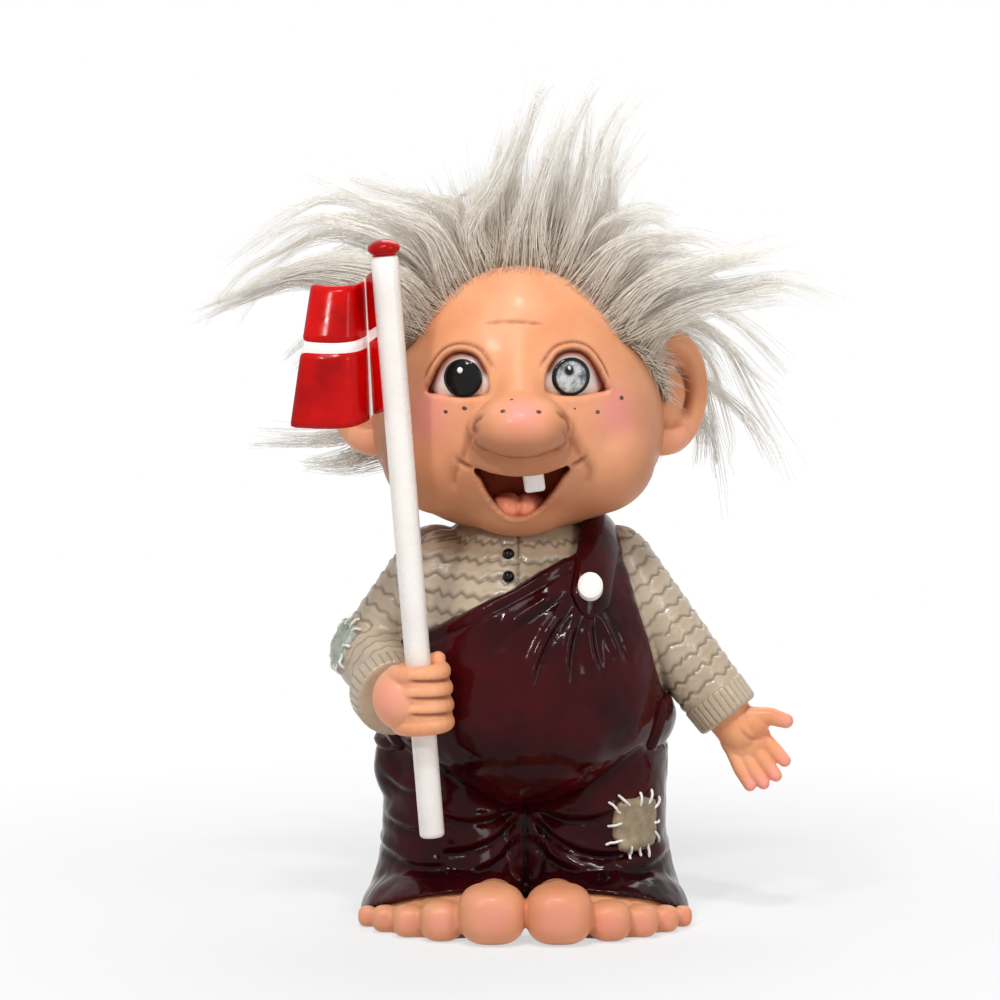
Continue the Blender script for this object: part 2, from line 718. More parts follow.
# %% Ears
def make_ear(side, name):
    middle = Vector((HEAD.x + side * 27.4, 3.0, 94.0))
    bm = bmesh.new()
    clay_ball(bm, middle, (7.0, 3.0, 11.2), turn=(0, side * 4, side * 16), detail=5)
    clay_ball(bm, middle + Vector((side * -1.6, -1.2, -7.4)), (5.0, 3.2, 3.8))
    ear = soften(as_piece(bm, name + "_ear_leaf"), 0.3, 5)
    clay = Clay(ear)
    for width, height, wash, line in (
        (1.3, -0.9, 0.25, ((-3, 5.6), (-0.4, 7.2), (2.6, 5.4), (3.8, 0), (2.4, -4.6))),
        (0.6, -1.3, 0.8, ((0.6, 5.4), (2.9, 3.4), (3.7, -0.4), (2.9, -3.6))),
        (1.8, 0.7, 0, ((-2.2, 3.4), (-0.6, 0.4), (-1.2, -3.4))),
        (0.7, -0.45, 0.3, ((-3.6, -4.6), (-0.4, -5.4), (2.6, -4.6))),
    ):
        clay.stroke([(middle.x + side * x, middle.z + z) for x, z in line], width, height, wash)
    clay.dust(middle + Vector((side * 1.0, -2.6, -7.4)), 3.2, 0.25)
    clay.shape()
    finish(ear, skin, "skin", name + "_ear")


make_ear(1, "left")
make_ear(-1, "right")

# %% [markdown]
# ## Knit sweater
# The sweater is carved as wavy rows with a dark wash in each groove. The rows go round the
# chest, and on the sleeves they go round the arm, so the rule first finds what a vertex
# belongs to and then measures across the rows and along them.

# %% Sweater form
TRUNK = Vector((0, 0, 40.0))
TRUNK_RADIUS, CHEST_RISE, BELLY_DROP = 25.2, 35.0, 18.0
CLOTH = 1.6  # how far the overalls lie off the sweater
LEFT_SHOULDER, LEFT_WRIST = Vector((16, 0, 63)), Vector((33.4, -4.2, 40.9))
LEFT_CUFF_END = Vector((36.8, -5, 36.5))
RIGHT_SHOULDER, ELBOW = Vector((-16, 0, 63)), Vector((-27.4, -1.5, 47.2))
RIGHT_WRIST, RIGHT_CUFF_END = Vector((-23.3, -16.2, 44.4)), Vector((-21.8, -21.5, 43.4))
ROW_PITCH = 3.0


def keep_side(bm, point, outward):
    """Cuts off what lies outward of a plane and closes the cut."""
    bmesh.ops.bisect_plane(
        bm, geom=bm.verts[:] + bm.edges[:] + bm.faces[:], plane_co=Vector(point) * MM,
        plane_no=outward, clear_outer=True,
    )
    bmesh.ops.holes_fill(bm, edges=[edge for edge in bm.edges if edge.is_boundary])


bm = bmesh.new()
clay_egg(bm, TRUNK, TRUNK_RADIUS, CHEST_RISE, BELLY_DROP)
keep_side(bm, (0, 0, 40), (0, 0, -1))
clay_ball(bm, (-14.5, -4.0, 61.2), (9.0, 9.0, 8.8), detail=5)
clay_roll(bm, LEFT_SHOULDER, LEFT_WRIST, 7.4, 6.0)
clay_roll(bm, RIGHT_SHOULDER, ELBOW, 7.4, 7.0)
clay_roll(bm, ELBOW, RIGHT_WRIST, 7.0, 6.0)
knitwear = soften(as_piece(bm, "sweater_knit"), 0.36, 7)


# %% Knit rows
def along_arm(place, joints):
    """Distance along an arm's axis, distance from it, and angle round it."""
    best = None
    gone = 0.0
    for start, end in zip(joints, joints[1:]):
        run = end - start
        share = min(max((place - start).dot(run) / run.length_squared, -0.5), 1.2)
        offset = place - start - run * min(max(share, 0.0), 1.0)
        if best is None or offset.length < best[1]:
            side = run.normalized().cross(Vector((0, 1, 0))).normalized()
            angle = math.atan2(offset.dot(side), offset.dot(side.cross(run.normalized())))
            best = (gone + share * run.length, offset.length, angle)
        gone += run.length
    return best


def knit(across, along):
    """Height and wash of wavy rows, measured across and along them in millimetres."""
    row = across / ROW_PITCH
    number = round(row)
    sway = 0.09 * math.sin(along * 2.2 + 2.3 * number) + 0.08 * math.sin(along * 0.9 + 1.1 * number)
    sway += 0.12 * noise.noise((along * 0.5, number * 3.1, 0))
    offset = (row + sway - number) * ROW_PITCH
    groove = bell(offset, 0.3)
    return 0.16 * bell(offset - 0.8, 0.6) - 0.26 * groove, 0.8 * groove


def sweater_rule(place, normal):
    """Rows round the arm on the sleeves, fading where the overalls lie, or round the chest."""
    joints = (LEFT_SHOULDER, LEFT_WRIST) if place.x > 0 else (RIGHT_SHOULDER, ELBOW, RIGHT_WRIST)
    along, from_axis, angle = along_arm(place, joints)
    if from_axis < 8.2 and along > -2.0 and abs(place.x) > 17.0:
        height, wash = knit(along, angle * 6.5)
        level = (place.x**2 + place.y**2) / (TRUNK_RADIUS + CLOTH) ** 2
        level += ((place.z - TRUNK.z) / (CHEST_RISE + CLOTH)) ** 2
        return height * unit((level - 1.0) / 0.12), wash
    height, wash = knit(place.z, math.atan2(place.x, -place.y) * 22.0)
    plain = unit((0.9 - normal.z) / 0.2) if abs(place.x) < 11 else 1.0
    return height * plain, wash * plain


clay = Clay(knitwear)
clay.pattern(sweater_rule)
clay.stroke(((-1.3, 72.5), (-1.3, 68.0), (-1.4, 62.5)), 0.3, -0.5, wash=0.9, taper=0)
clay.shape()
finish(knitwear, sweater, "sweater", "sweater_body", "left_sleeve", "right_sleeve")


# %% Ribbed cuffs
def make_cuff(side, start, end, radius):
    run = end - start
    turn = run.to_track_quat("Z", "Y")
    bm = bmesh.new()
    bmesh.ops.create_cone(
        bm, cap_ends=True, segments=64, radius1=radius * MM, radius2=(radius - 0.2) * MM,
        depth=run.length * MM, matrix=placed((start + end) / 2, turn),
    )
    rims = [edge for edge in bm.edges if any(len(face.verts) > 4 for face in edge.link_faces)]
    round_edges(bm, rims, 0.8)
    cuff = soften(as_piece(bm, side + "_cuff_ribs"), 0.22, 3)
    across, other = turn @ Vector((1, 0, 0)), turn @ Vector((0, 1, 0))

    def ribs(place, normal):
        offset = place - start
        height = offset.dot(run.normalized())
        angle = math.atan2(offset.dot(other), offset.dot(across))
        outer = 1.0 if (offset - run.normalized() * height).length > radius - 0.9 else 0.0
        wave = abs(math.sin(angle * 15))
        groove = outer * max(0.0, 1 - wave / 0.36) * (1.0 if 0.7 < height < 5.2 else 0.4)
        seam = outer * bell(height - 0.25, 0.3)
        return -0.28 * groove - 0.3 * seam, min(0.9, 0.75 * groove + 0.9 * seam)

    clay = Clay(cuff)
    clay.pattern(ribs)
    clay.shape()
    finish(cuff, sweater, "sweater", side + "_cuff")


cuff_drop = Vector((-1.1, 0, -1.0))
make_cuff("left", LEFT_WRIST, LEFT_CUFF_END, 6.2)
make_cuff("right", RIGHT_WRIST + cuff_drop, RIGHT_CUFF_END + cuff_drop, 7.3)
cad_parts["shirt_buttons"].data.materials[0] = black_gloss

# %% [markdown]
# ## Overalls
# The overalls start as the trunk's egg, a little grown and cut off at the slanting bib,
# with two flared legs spun from a profile. One melt joins them. The folds are pressed in
# afterwards: under the belly, out from the crotch, at the knees and below the strap.

# %% Overalls form
LEG_PROFILE = (
    (0, 1.2), (16.6, 1.2), (15.4, 4.4), (13.9, 9), (13, 14.5), (12.9, 22), (13.2, 31), (0, 31),
)
LEG_X, LEG_DEPTH = 12.8, 1.12


def spun(bm, profile, centre, depth=1.0, steps=72):
    """Solid of a profile of radius and height, spun round a standing axis."""
    chain = [bm.verts.new((radius * MM, 0, height * MM)) for radius, height in profile]
    edges = [bm.edges.new(pair) for pair in zip(chain, chain[1:])]
    bmesh.ops.spin(bm, geom=chain + edges, cent=(0, 0, 0), axis=(0, 0, 1), angle=math.tau, steps=steps)
    verts = list({vert for face in bm.faces for vert in face.verts if not vert.tag})
    bmesh.ops.remove_doubles(bm, verts=verts, dist=0.01 * MM)
    verts = [vert for vert in bm.verts if not vert.tag]
    for vert in verts:
        vert.co.y *= depth
        vert.tag = True
    bmesh.ops.translate(bm, verts=verts, vec=Vector(centre) * MM)


bm = bmesh.new()
clay_egg(bm, TRUNK, TRUNK_RADIUS + CLOTH, CHEST_RISE + CLOTH, BELLY_DROP + CLOTH)
keep_side(bm, (-19.5, 0, 52.4), (-14.4, 0, 27.5))
keep_side(bm, (16.8, 0, 68.0), (24.0, 0, 7.2))
bib = as_piece(bm, "bib")
bm = bmesh.new()
for side in (-1, 1):
    spun(bm, LEG_PROFILE, (side * LEG_X, 0, 0), LEG_DEPTH)
bmesh.ops.recalc_face_normals(bm, faces=bm.faces[:])
lift = math.radians(25)
keep_side(bm, (0, -5.0, 1.2), (0, -math.sin(lift), -math.cos(lift)))
clay_roll(bm, (0, -4.6, 27.0), (0, -4.6, 8.0), 6.0, 6.0)
clay_ball(bm, (-16.8, -2.0, 27.0), (10.6, 9.4, 10.4), detail=5)
clay_ball(bm, (0, -5.5, 33.0), (18.0, 18.4, 13.4), detail=5)
take_in(bm, bib)
for side in (-1, 1):
    hem = bmesh.new()
    clay_ball(hem, (side * 13.6, -6.0, 0.0), (16.3, 21.5, 11.5), detail=5)
    keep_side(hem, (side * 6.0, -22.0, 8.5), (side * -0.12, -0.35, -1))
    keep_side(hem, (0, 0, 1.2), (0, 0, -1))
    take_in(bm, as_piece(hem, "hem_over_foot"))
trousers = soften(as_piece(bm, "overalls_cloth"), 0.46, 9)

# %% Folds of the overalls
# A fold is a soft groove with a rounded ridge above it: its depth and the places it passes.
FOLD_WIDTH, FOLD_LIFT = 0.75, 1.25
FOLDS = (
    (0.6, (-1.6, 20.8), (-6, 18.8), (-12, 18.8), (-17, 20.6)),
    (0.7, (-1.4, 18.8), (-5, 15.4), (-10, 13.6), (-15, 13)),
    (0.5, (-1.2, 15.4), (-4.6, 11.4), (-9.6, 9.4)),
    (0.6, (1.6, 20.8), (6, 19), (12, 19.2), (16, 20.8)),
    (0.8, (1.4, 18.8), (5.2, 15.4), (10, 13.2), (16, 12.6), (22, 14.2)),
    (0.5, (1.2, 15.4), (4.8, 11.4), (10, 9.6), (16, 9.4)),
    (0.55, (-25, 18), (-20.6, 16.6), (-14.6, 16.8)),
    (0.55, (-26.4, 12.6), (-21, 10.6), (-14, 10.6)),
    (0.5, (26.2, 11.4), (22, 9.8), (17, 10.2)),
    (0.45, (-25.4, 26), (-22, 23.8), (-18, 23.6)),
)
PLEATS = (
    ((8.4, 58.6), (5, 54.2), (2.6, 49), (1.6, 44.6)), ((10, 57), (8.4, 52), (7.8, 46)),
    ((11.8, 56.8), (12.6, 51.6), (13.6, 46.6)), ((13.8, 57.8), (16.4, 53), (18.4, 48)),
    ((7.4, 60.8), (1.6, 57.6), (-3, 54.4)),
)
BELLY_LINE = (
    (-21, 33.4), (-15.2, 28.6), (-8, 24), (-0.4, 21.8), (8, 23.6), (15, 27.6), (21, 32.6),
)
clay = Clay(trousers)
clay.stroke(BELLY_LINE, 0.7, -0.5, wash=0.6)
clay.stroke(((0.0, 21.6), (0.1, 15.0), (0.2, 6.5)), 0.7, -0.8, wash=0.8, taper=0.6)
for depth, *line in FOLDS:
    clay.stroke(line, FOLD_WIDTH, -depth, wash=0.5)
    clay.stroke([(x, z + FOLD_LIFT) for x, z in line], FOLD_WIDTH * 1.3, depth * 0.8)
for line in PLEATS:
    clay.stroke(line, 0.6, -0.6, wash=0.4, taper=3.0)
    clay.stroke([(x - 1.3, z + 0.3) for x, z in line], 1.1, 0.75, taper=3.0)
clay.stroke(((-20.6, 51.8), (-6.0, 59.4), (7.4, 66.2)), 0.55, 0.4, taper=0.5)
clay.stroke(((-20.6, 50.2), (-6.0, 57.8), (8.2, 65.0)), 0.4, -0.3, wash=0.3, taper=0.5)


def crumple(place, normal):
    """Faint unevenness of brushed, crinkled paint over cloth."""
    return noise.noise(place * 0.16) * 0.35 + noise.noise(place * 0.5) * 0.1, 0.0


clay.pattern(crumple)
clay.shape()
finish(trousers, overalls_paint, "overalls", "overalls")
trousers_tree, sweater_tree = surface_of(trousers), surface_of(knitwear)


# %% [markdown]
# ## Strap, button, pockets and patches
# These are flat pieces of cloth on a curved body. Each starts as a grid, and a rule lays
# every vertex of the grid on the surface below it, with a little lift in the middle and none
# at the edge. Only the button is a disc, with a sunken face.


# %% Strap and its button
def over_shoulder(x, angle, lift):
    """Point on the overalls' egg at a given X, at an angle from the front over the shoulder."""
    wide = math.sqrt((TRUNK_RADIUS + lift) ** 2 - x * x)
    tall = (CHEST_RISE + lift) * wide / (TRUNK_RADIUS + lift)
    return Vector((x, -wide * math.cos(angle), TRUNK.z + tall * math.sin(angle)))


STRAP_HALF, STRAP_FRONT, STRAP_BACK = 3.6, math.radians(29.5), math.radians(150)
bm = bmesh.new()
for vert in bmesh.ops.create_grid(bm, x_segments=14, y_segments=90, size=1)["verts"]:
    across, share = vert.co.x, (vert.co.y + 1) / 2
    angle = STRAP_FRONT + (STRAP_BACK - STRAP_FRONT) * share
    end = min(1.0, share / 0.06)
    half = STRAP_HALF * (0.1 + 0.9 * end**0.7)
    middle = 11.0 + 2.8 * min(1.0, share / 0.33)
    lift = CLOTH + 0.2 + 1.2 * (1 - abs(across) ** 3) * min(1.0, 0.2 + end)
    vert.co = over_shoulder(middle + across * half, angle, lift) * MM
bmesh.ops.remove_doubles(bm, verts=bm.verts[:], dist=0.01 * MM)
strap = as_piece(bm, "strap_band")
cloth = strap.modifiers.new("cloth", "SOLIDIFY")
cloth.thickness, cloth.offset = 0.7 * MM, -1.0
apply_modifiers(strap)
finish(strap, overalls_paint, "overalls", "shoulder_strap")

BUTTON_X, BUTTON_ANGLE = 11.4, math.radians(38.8)
bm = bmesh.new()
bmesh.ops.create_cone(
    bm, cap_ends=True, segments=48, radius1=2.4 * MM, radius2=2.3 * MM, depth=1.2 * MM
)
top = max(bm.faces, key=lambda face: face.calc_center_median().z)
bmesh.ops.inset_region(bm, faces=[top], thickness=0.55 * MM, depth=-0.16 * MM)
rims = [edge for edge in bm.edges if abs(edge.verts[0].co.z - edge.verts[1].co.z) < 0.001 * MM]
round_edges(bm, rims, 0.14)
button_seat = over_shoulder(BUTTON_X, BUTTON_ANGLE, CLOTH + 2.0)
facing = (button_seat - over_shoulder(BUTTON_X, BUTTON_ANGLE, 0)).to_track_quat("Z", "Y")
place = Matrix.LocRotScale(button_seat * MM, facing, Vector((0.95, 1.16, 1.0)))
bmesh.ops.transform(bm, verts=bm.verts[:], matrix=place)
button = as_piece(bm, "strap_button_disc")
for polygon in button.data.polygons:
    polygon.use_smooth = len(polygon.vertices) <= 4
finish(button, white_paint, "white_paint", "strap_button")


# %% Pockets and patches
def laid_flap(name, wide, high, thick, lay, ragged=0.0):
    """Rounded cloth flap; lay(u, v) gives the point and normal below a place on it."""
    bm = bmesh.new()
    for vert in bmesh.ops.create_grid(bm, x_segments=28, y_segments=28, size=1)["verts"]:
        u, v = vert.co.x, vert.co.y
        edge = 1 - max(abs(u), abs(v))
        u, v = u * math.sqrt(1 - 0.3 * v * v), v * math.sqrt(1 - 0.3 * u * u)
        fray = 1 + ragged * noise.noise((u * 3, v * 3, wide))
        place, normal = lay(u * fray * wide / 2, v * fray * high / 2)
        lift = thick * (1 - (1 - min(1.0, edge * 5)) ** 2) - 0.15 * (edge < 0.01)
        vert.co = (place + normal * lift) * MM
    return as_piece(bm, name, smooth=True)


def on_hip(side):
    def lay(u, v):
        y, z = -6.0 + side * u, 35.8 + v
        return cast_on(trousers_tree, Vector((side * 60, y * 2.2, z)), Vector((0, y * 0.4, z)))
    return lay


def on_knee(u, v):
    angle = math.radians(31) + u / 13.5
    start = Vector((LEG_X + 40 * math.sin(angle), -40 * math.cos(angle), 18.0 + v))
    return cast_on(trousers_tree, start, Vector((LEG_X, 0, 18.0 + v)))


ELBOW_FACING = Vector((-0.86, -0.38, 0.34)).normalized()
ELBOW_SIDE = ELBOW_FACING.cross(Vector((0, 0, 1))).normalized()


def on_elbow(u, v):
    aim = ELBOW_FACING * 7 - ELBOW_SIDE * u + ELBOW_SIDE.cross(ELBOW_FACING) * v
    return cast_on(sweater_tree, ELBOW + aim * 5, ELBOW)


def stitches(name, lay, wide, high):
    """White thread loops that cross the edge of a patch all round it."""
    bm = bmesh.new()
    picker = random.Random(11)
    for number in range(STITCH_COUNT):
        angle = math.tau * number / STITCH_COUNT + picker.uniform(-0.12, 0.12)
        u, v = math.cos(angle), math.sin(angle)
        reach = 0.96 / max(abs(u), abs(v)) * (0.93 + 0.05 * abs(u * v))
        lean = picker.uniform(-0.25, 0.25)
        line = []
        for step in range(6):
            share = step / 5 - 0.5
            grow = reach * (1 + share * STITCH_LENGTH / (min(wide, high) / 2))
            across, up = u * grow - v * lean * share, v * grow + u * lean * share
            place, normal = lay(across * wide / 2, up * high / 2)
            line.append(place + normal * (0.35 + 0.55 * (1 - (2 * share) ** 2)))
        for start, end in zip(line, line[1:]):
            clay_roll(bm, start, end, 0.27, 0.27, sides=10)
    return soften(as_piece(bm, name), 0.12, 2)


STITCH_COUNT, STITCH_LENGTH, PATCH_WIDE = 12, 2.6, 9.4
for side, name in ((1, "left"), (-1, "right")):
    flap = laid_flap(name + "_pocket_flap", 9.5, 10.8, 1.2, on_hip(side))
    finish(flap, overalls_paint, "overalls", name + "_pocket")
for name, high, lay, paint in (
    ("knee", 10.0, on_knee, patch_brown), ("elbow", 10.4, on_elbow, patch_green),
):
    patch = laid_flap(name + "_patch_cloth", PATCH_WIDE, high, 0.8, lay, ragged=0.06)
    finish(patch, paint, name + "_patch", name + "_patch")
    thread = stitches(name + "_stitches", lay, PATCH_WIDE, high)
    finish(thread, thread_white, name + "_patch")

# %% [markdown]
# ## Hands
# Small melted forms: a palm, finger rolls and a thumb. The right hand is a mitten-like fist,
# with its fingers wrapped round the pole and three thin grooves between them.

# %% Open left hand
FINGERS = (
    ((37.4, -6.2, 30.4), (38.8, -7.2, 27.2), (40.4, -8, 24.4)),
    ((39.6, -6.6, 29.8), (41.2, -7.6, 27), (42.8, -8.4, 24.8)),
    ((41.6, -6.6, 30.6), (43.4, -7.6, 28.2), (45, -8.4, 26.2)),
    ((43.2, -6.2, 32.2), (45, -7, 30.4), (46.6, -7.8, 28.8)),
)
bm = bmesh.new()
clay_roll(bm, LEFT_CUFF_END - Vector((1.6, -0.4, -2.0)), (38.6, -5.6, 34.0), 4.3, 4.0)
clay_ball(bm, (39.6, -5.8, 32.6), (4.5, 2.7, 5.4), turn=(0, -36, 0))
clay_ball(bm, (41.0, -7.0, 35.4), (3.0, 2.2, 2.6), turn=(0, -20, 0))
for root, knuckle, tip in FINGERS:
    clay_roll(bm, root, knuckle, 1.42, 1.38)
    clay_roll(bm, knuckle, tip, 1.38, 1.15)
clay_roll(bm, (40.4, -6.8, 36.6), (44.0, -7.4, 36.8), 1.9, 1.6)
clay_roll(bm, (44.0, -7.4, 36.8), (46.8, -7.6, 36.0), 1.6, 1.35)
open_hand = soften(as_piece(bm, "left_hand_skin"), 0.22, 3)
clay = Clay(open_hand)
crevices(clay, 9.0)
for place in (
    (40.2, -9, 24.6), (42.6, -9.4, 25), (44.9, -9.4, 26.4), (46.4, -8.8, 29), (46.8, -8.9, 36),
):
    clay.dust(place, 1.7, 0.55)
clay.stroke(((38.4, 35.0), (40.4, 33.0), (42.6, 33.0)), 0.4, -0.3, wash=0.35)
clay.shape()
finish(open_hand, skin, "skin", "left_hand")

# %% Fist round the pole
POLE_FOOT, POLE_LENGTH = Vector((-16.4, -26.6, 18.6)), 102.6
POLE_LEAN = math.radians(4.55)
POLE_UP = Vector((-math.sin(POLE_LEAN), 0, math.cos(POLE_LEAN)))
POLE_SIDE = Vector((math.cos(POLE_LEAN), 0, math.sin(POLE_LEAN)))
POLE_TURN = Euler((0, -POLE_LEAN, 0))
GRIP_HEIGHT = 24.8


def by_pole(height, radius, angle):
    """Point at a height above the grip, at a radius and an angle; 270 degrees is in front."""
    turn = math.radians(angle)
    flat = POLE_SIDE * math.cos(turn) + Vector((0, 1, 0)) * math.sin(turn)
    return POLE_FOOT + POLE_UP * (GRIP_HEIGHT + height) + flat * radius


bm = bmesh.new()
clay_ball(bm, by_pole(0.2, 3.0, 170), (5.6, 5.8, 5.9))
clay_roll(bm, RIGHT_CUFF_END + Vector((-0.4, 2.0, 0.4)), by_pole(0, 3.8, 150), 4.6, 5.2)
for level, thick in ((-4.5, 1.65), (-1.5, 1.8), (1.5, 1.85), (4.5, 1.7)):
    last = by_pole(level, 4.1, 178)
    for angle in range(200, 371, 17):
        place = by_pole(level, 4.0, angle)
        clay_roll(bm, last, place, thick, thick, sides=20)
        last = place
for level in (-3.0, 0.0, 3.0):
    for angle in range(180, 360, 20):
        clay_roll(bm, by_pole(level, 3.9, angle), by_pole(level, 3.9, angle + 20), 1.5, 1.5)
clay_roll(bm, by_pole(4.0, 4.2, 130), by_pole(6.4, 4.0, 28), 1.9, 1.35)
fist = soften(as_piece(bm, "right_hand_skin"), 0.22, 5)
clay = Clay(fist)
crevices(clay, 9.0)
for z in (41.2, 44.1, 47.1):
    clay.stroke(((-20.6, z), (-17.0, z - 0.1), (-12.6, z - 0.2)), 0.32, -0.4, wash=0.85)
clay.dust(by_pole(1.0, 8.0, 222), 3.8, 0.6)
clay.shape()
bm = bmesh.new()
bmesh.ops.create_cone(
    bm, cap_ends=True, segments=48, radius1=2.32 * MM, radius2=2.36 * MM, depth=40 * MM,
    matrix=placed(POLE_FOOT + POLE_UP * GRIP_HEIGHT, POLE_TURN),
)
cut_out(fist, as_piece(bm, "pole_cutter"))
finish(fist, skin, "skin", "right_hand")

# %% [markdown]
# ## Feet
# Broad feet with ten blocky toes. A pebble is a ball drawn towards a cube, which gives the
# toes their square look. The toe tips are dusted pink.

# %% Feet
TOES = (
    (5.9, -28, 5.95, 5.3), (14.8, -26, 3.8, 3.6), (20.6, -23, 2.95, 2.9), (24.9, -19, 2.4, 2.4),
    (28, -14.6, 1.9, 1.9),
)
TOE_SQUARE = 2.7


def clay_pebble(bm, centre, half):
    """Ball drawn towards a block."""
    for vert in clay_ball(bm, (0, 0, 0), (1, 1, 1)):
        pull = sum((abs(value) / MM) ** TOE_SQUARE for value in vert.co) ** (-1 / TOE_SQUARE)
        grown = [value * pull * size for value, size in zip(vert.co, half)]
        vert.co = Vector(grown) + Vector(centre) * MM


bm = bmesh.new()
for side in (-1, 1):
    clay_ball(bm, (side * 13.6, -6.0, 0.0), (15.0, 20.0, 10.2), detail=5)
    for x, y, half, tall in TOES:
        start, end = (side * x, y + 1, tall * 0.9), (side * x * 0.94, y + 9, tall)
        clay_pebble(bm, (side * x, y, tall * 0.97), (half, half * 1.05, tall))
        clay_roll(bm, start, end, tall * 0.85, tall * 0.8)
keep_side(bm, (0, 0, 0.05), (0, 0, -1))
feet = soften(as_piece(bm, "feet_skin"), 0.38, 4)
clay = Clay(feet)
crevices(clay, 9.0)
for side in (-1, 1):
    for x, y, half, tall in TOES:
        clay.dust((side * x, y - half, tall * 1.05), half * 0.66, 0.5)


def foot_shade(place, normal):
    """Deeper tone on the back of the foot, behind the toes and under the hem."""
    behind = place.y > -20.5 + 0.28 * (abs(place.x) - 6) and place.z > 1.5
    return 0.0, 0.5 if behind else 0.1


clay.pattern(foot_shade)
clay.shape()
for vert in feet.data.vertices:
    vert.co.z = max(vert.co.z, 0.0)
finish(feet, skin, "skin", "feet")

# %% [markdown]
# ## Flag and pole
# The flag is cast in one with its folds: close to the pole it turns back into a valley, and
# the upright white bar lies in that valley. The four red fields stand a little proud of the
# white cross. A vertex attribute, "bar", says where the cross is.

# %% Pole and finial
def turned(name, profile, steps, paint, slot, node):
    """Solid turned round the pole's axis."""
    bm = bmesh.new()
    spun(bm, profile, (0, 0, 0), steps=steps)
    bmesh.ops.recalc_face_normals(bm, faces=bm.faces[:])
    bmesh.ops.transform(bm, verts=bm.verts[:], matrix=placed(POLE_FOOT, POLE_TURN))
    finish(as_piece(bm, name, smooth=True), paint, slot, node, body="flag_staff")


stick = [(0, 0), (1.85, 0), (2.15, 0.35)]
stick += [(2.2 + 0.2 * step / 20, 0.8 + (POLE_LENGTH - 1.2) * step / 20) for step in range(21)]
stick += [(2.1, POLE_LENGTH), (0, POLE_LENGTH)]
knob = [(0, -0.4), (1.9, -0.4), (2.1, 0.1)]
for step in range(15):
    angle = math.radians(-48 + 9 * step)
    knob.append((2.85 * math.cos(angle), 1.35 + 1.55 * math.sin(angle)))
knob += [(0.3, 2.9), (0, 2.92)]
knob = [(radius, POLE_LENGTH + height) for radius, height in knob]
turned("pole_stick", stick, 40, white_paint, "white_paint", "flag_pole")
turned("finial_knob", knob, 48, flag_red, "red_paint", "pole_finial")

# %% Flag
FLAG_TOP, FLAG_HOIST, FLAG_FLY = 100.6, 23.8, 14.2
BAR_LEVEL, BAR_HALF, POST_PLACE, POST_HALF = 0.43, 0.042, 0.27, 0.045


def flag_point(share, down):
    """Place on the flag's middle sheet: share of the fly from the pole, share of the hoist down."""
    valley = -3.4 * bell(share - 0.27, 0.13)
    bulge = 1.5 * math.sin(math.pi * unit((share - 0.3) / 0.7))
    slope = 2.6 * (1 - bell(share, 0.24))
    x = -FLAG_FLY * share * (1 + 0.1 * (2 * down - 1) * share) - 2.6 * share * down
    z = FLAG_TOP - slope - FLAG_HOIST * down * (1 - 0.02 * share) - 0.6 * math.sin(3 * share)
    lean = 3.4 * max(0.0, BAR_LEVEL - down) / BAR_LEVEL * min(1.0, share / 0.4)
    y = -valley - bulge + lean - 0.7 * share * math.sin(2.5 * down)
    return POLE_FOOT + POLE_SIDE * x + POLE_UP * z + Vector((0, y, 0))


bm = bmesh.new()
bar_layer = bm.verts.layers.float.new("bar")
for vert in bmesh.ops.create_grid(bm, x_segments=84, y_segments=130, size=1)["verts"]:
    share, down = (vert.co.x + 1) / 2, (1 - vert.co.y) / 2
    off_bar = min(abs(down - BAR_LEVEL) / BAR_HALF, abs(share - POST_PLACE) / POST_HALF)
    vert[bar_layer] = off_bar
    edge = min(down * FLAG_HOIST, (1 - down) * FLAG_HOIST, (1 - share) * FLAG_FLY)
    puff = unit((off_bar - 1.0) * 1.2) * min(1.0, edge / 0.6)
    vert.co = (flag_point(share, down) + Vector((0, -0.55 * puff, 0))) * MM
flag = as_piece(bm, "flag_cloth")
body = flag.modifiers.new("body", "SOLIDIFY")
body.thickness, body.offset = 1.3 * MM, 0.0
apply_modifiers(flag)
flag_paint = painted("flag_paint", **FLAG_RED)
tree = flag_paint.node_tree
shader = tree.nodes["Principled BSDF"]
red = shader.inputs["Base Color"].links[0].from_socket
cross = add_range(tree, add_attribute(tree, "bar"), 1.0, 1.15, 1.0, 0.0)
set_inputs(tree, shader, {"Base Color": add_mix(tree, cross, red, srgb(244, 238, 234))})
finish(flag, flag_paint, "red_paint", "flag", body="flag_staff")

# %% [markdown]
# ## Fur wig
# The wig is real fur: a dense, short undercoat under long, fine guard hairs that cling together
# in locks. Each hair is a thin tapered curve, so the wig stays plain geometry to export.
# A few dozen guide lines say how the locks sweep, read from the photo for the front and guessed
# for the back. Each hair grows where it is on the scalp and closes in on the nearest guide.

# %% Scalp points
HAIR_MIDDLE = Vector((-1.2, 1.0, 96.0))
HAIRLINE = ((-15.2, 140.0), (-14.8, 106.0), (-7.2, 97.0), (6.0, 87.0), (24.0, 74.0), (40.0, 70.0))


def hairline_y(z):
    """How far back the fur starts on the head at a height."""
    for (y0, z0), (y1, z1) in zip(HAIRLINE, HAIRLINE[1:]):
        if z >= z1:
            return y0 + (y1 - y0) * unit((z0 - z) / (z0 - z1))
    return 99.0


def scalp_at(aim):
    """Point and outward normal of the head's egg in a direction."""
    aim = aim.normalized()
    rise = SKULL_RISE if aim.z > 0 else JAW_DROP
    reach = 1 / math.sqrt((aim.x**2 + aim.y**2) / HEAD_RADIUS**2 + (aim.z / rise) ** 2)
    normal = Vector((aim.x / HEAD_RADIUS**2, aim.y / HEAD_RADIUS**2, aim.z / rise**2)).normalized()
    return HEAD + aim * reach, normal


